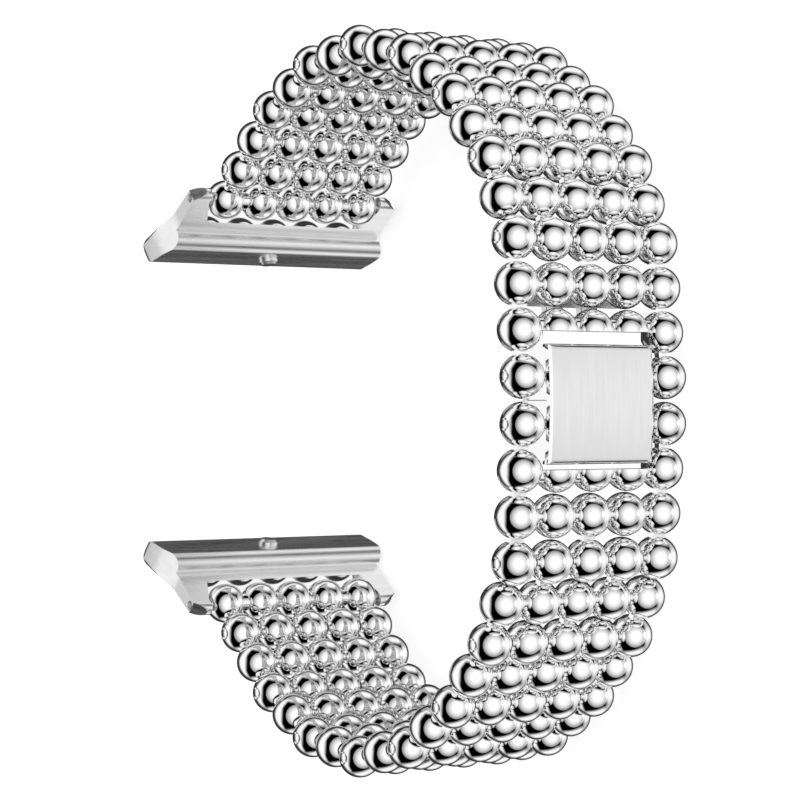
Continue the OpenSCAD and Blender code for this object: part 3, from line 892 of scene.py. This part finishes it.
def light_level(tree, light, across):
    """The round light, brighter to its middle and where it nears the right wall."""
    glow = ranged(tree, light, LIGHT_RIM, 0.92, *LIGHT_LEVELS)
    return math_node(tree, "MAXIMUM", glow, ease(tree, across, 0.35, 0.72))


def patch_share(tree, across, above):
    """1 in the bright patch, 0 around it."""
    off_x = math_node(tree, "SUBTRACT", across, PATCH_PLACE[0])
    off_y = math_node(tree, "SUBTRACT", above, PATCH_PLACE[1])
    near = math_node(
        tree, "ADD", math_node(tree, "MULTIPLY", math_node(tree, "MULTIPLY", off_x, off_x), 100.0),
        math_node(tree, "MULTIPLY", math_node(tree, "MULTIPLY", off_y, off_y), 30.0))
    return ease(tree, near, 0.1, 1.0, 1.0, 0.0)


def back_share(tree, ray):
    """1 far behind the bracelet and in the corners on its left, 0 elsewhere."""
    behind = facing(tree, ray, camera_direction(*BACK_AIM))
    steep = math_node(tree, "ABSOLUTE", facing(tree, ray, CAMERA_UP))
    left = ease(tree, facing(tree, ray, camera_direction(-1, 0, 0)), -0.1, 0.4, 0.0, 0.2)
    return ease(tree, math_node(tree, "ADD", behind, math_node(tree, "MULTIPLY", steep, left)), 0.38, 0.76)


def studio_world(world):
    """Pale walls with one large round light in a dark panel. The camera itself sees white."""
    world.use_nodes = True
    tree = world.node_tree
    tree.nodes.clear()
    ray = add(tree, "ShaderNodeTexCoord").outputs["Generated"]

    # Where a mirror ball shows this direction
    toward = add(tree, "ShaderNodeVectorMath", operation="ADD", sockets={1: CAMERA_BACK})
    link(tree, ray, toward.inputs[0])
    middle = add(tree, "ShaderNodeVectorMath", operation="NORMALIZE")
    link(tree, toward.outputs[0], middle.inputs[0])
    across = facing(tree, middle.outputs[0], CAMERA_RIGHT)
    above = facing(tree, middle.outputs[0], CAMERA_UP)

    light = facing(tree, ray, camera_direction(*LIGHT_AIM))
    disc = ease(tree, light, LIGHT_RIM - RIM_SOFTNESS, LIGHT_RIM + RIM_SOFTNESS)
    seen = blend(tree, wall_level(tree, across, above), 0.0, panel_share(tree, across, above))
    seen = blend(tree, seen, light_level(tree, light, across), disc)
    seen = blend(tree, seen, PATCH_LEVEL, patch_share(tree, across, above))
    seen = blend(tree, seen, BACK_LEVEL, back_share(tree, ray))

    path = add(tree, "ShaderNodeLightPath")
    level = blend(tree, seen, 1.0, path.outputs["Is Camera Ray"])
    level = blend(tree, level, 1.0, path.outputs["Is Transmission Ray"])
    background = add(tree, "ShaderNodeBackground", sockets={"Color": (1, 1, 1, 1)})
    link(tree, level, background.inputs["Strength"])
    output = add(tree, "ShaderNodeOutputWorld")
    link(tree, background.outputs["Background"], output.inputs["Surface"])


def floor_material():
    """Pale floor. The camera also sees a glow of its own in it, which keeps its shadows faint."""
    material, tree = shader_nodes("pale_floor")
    diffuse = add(tree, "ShaderNodeBsdfDiffuse", sockets={"Color": (0.75, 0.75, 0.75, 1)})
    glow = add(tree, "ShaderNodeEmission", sockets={"Color": (1, 1, 1, 1), "Strength": 0.6})
    path = add(tree, "ShaderNodeLightPath")
    shown = add(tree, "ShaderNodeMixShader")
    both = add(tree, "ShaderNodeAddShader")
    dark = add(tree, "ShaderNodeEmission", sockets={"Strength": 0.0})
    link(tree, path.outputs["Is Camera Ray"], shown.inputs[0])
    link(tree, dark.outputs[0], shown.inputs[1])
    link(tree, glow.outputs[0], shown.inputs[2])
    link(tree, diffuse.outputs[0], both.inputs[0])
    link(tree, shown.outputs[0], both.inputs[1])
    link(tree, both.outputs[0], tree.nodes["Output"].inputs["Surface"])
    return material


class BRACELET_OT_stage(bpy.types.Operator):
    """Makes the pale floor, the soft studio light and the camera"""
    bl_idname = "bracelet.stage"
    bl_label = "Stage"

    def execute(self, context):
        scene = context.scene
        scene.view_settings.view_transform = "Standard"
        scene.world = bpy.data.worlds.new("studio")
        studio_world(scene.world)
        add_floor(scene)
        add_softbox(scene)
        add_camera(scene)
        return {"FINISHED"}


def add_floor(scene):
    """The floor, a hair below the bracelet."""
    reach, level = 3, -0.1 * MM
    mesh = bpy.data.meshes.new("floor")
    mesh.from_pydata([(x * reach, y * reach, level) for x, y in ((-1, -1), (1, -1), (1, 1), (-1, 1))], [],
                     [(0, 1, 2, 3)])
    mesh.materials.append(floor_material())
    floor = bpy.data.objects.new("floor", mesh)
    scene.collection.objects.link(floor)
    floor.visible_glossy = False


def add_softbox(scene):
    """A soft lamp above, which the steel doesn't mirror."""
    lamp = bpy.data.lights.new("overhead_softbox", "AREA")
    lamp.shape = "DISK"
    lamp.size = 0.9
    lamp.energy = 2.6
    softbox = bpy.data.objects.new("overhead_softbox", lamp)
    softbox.location = (0.35, 0.1, 0.7)
    aim = Vector((0, 0, 10 * MM)) - softbox.location
    softbox.rotation_euler = aim.to_track_quat("-Z", "Y").to_euler()
    softbox.visible_glossy = False
    scene.collection.objects.link(softbox)


def add_camera(scene):
    """The camera where the photographed view is seen."""
    lens = bpy.data.cameras.new("camera")
    lens.lens = CAMERA_LENS
    lens.sensor_width = 36
    lens.sensor_fit = "HORIZONTAL"
    lens.clip_start = 0.01
    lens.clip_end = 20
    camera = bpy.data.objects.new("camera", lens)
    axes = Matrix((CAMERA_RIGHT, CAMERA_UP, CAMERA_BACK)).transposed()
    camera.matrix_world = Matrix.Translation(CAMERA_PLACE) @ axes.to_4x4()
    scene.collection.objects.link(camera)
    scene.camera = camera


class BRACELET_PT_panel(bpy.types.Panel):
    """Lists the bracelet's sizes, finishes and steps"""
    bl_label = "Beaded Bracelet"
    bl_idname = "BRACELET_PT_panel"
    bl_space_type = "VIEW_3D"
    bl_region_type = "UI"
    bl_category = "Bracelet"

    def draw(self, context):
        layout = self.layout
        for group in (context.scene.bracelet_sizes, context.scene.bracelet_finish):
            box = layout.box()
            for name in group.bl_rna.properties.keys():
                if name not in ("rna_type", "name"):
                    box.prop(group, name)
        for step in STEPS:
            layout.operator(step.bl_idname)


STEPS = (BRACELET_OT_stage, BRACELET_OT_links, BRACELET_OT_end_sections, BRACELET_OT_end_links,
         BRACELET_OT_pins, BRACELET_OT_cover_plate, BRACELET_OT_clasp, BRACELET_OT_adapters,
         BRACELET_OT_carried_nodes)
CLASSES = (BraceletSizes, BraceletFinish, *STEPS, BRACELET_PT_panel)


def register():
    for kind in CLASSES:
        bpy.utils.register_class(kind)
    bpy.types.Scene.bracelet_sizes = bpy.props.PointerProperty(type=BraceletSizes)
    bpy.types.Scene.bracelet_finish = bpy.props.PointerProperty(type=BraceletFinish)


def unregister():
    del bpy.types.Scene.bracelet_finish
    del bpy.types.Scene.bracelet_sizes
    for kind in reversed(CLASSES):
        bpy.utils.unregister_class(kind)


def main():
    register()
    bpy.ops.bracelet.stage()
    bpy.ops.bracelet.links()
    bpy.ops.bracelet.end_sections()
    bpy.ops.bracelet.end_links()
    bpy.ops.bracelet.pins()
    bpy.ops.bracelet.cover_plate()
    bpy.ops.bracelet.clasp()
    bpy.ops.bracelet.adapters()
    bpy.ops.bracelet.carried_nodes()


if __name__ == "__main__":
    main()
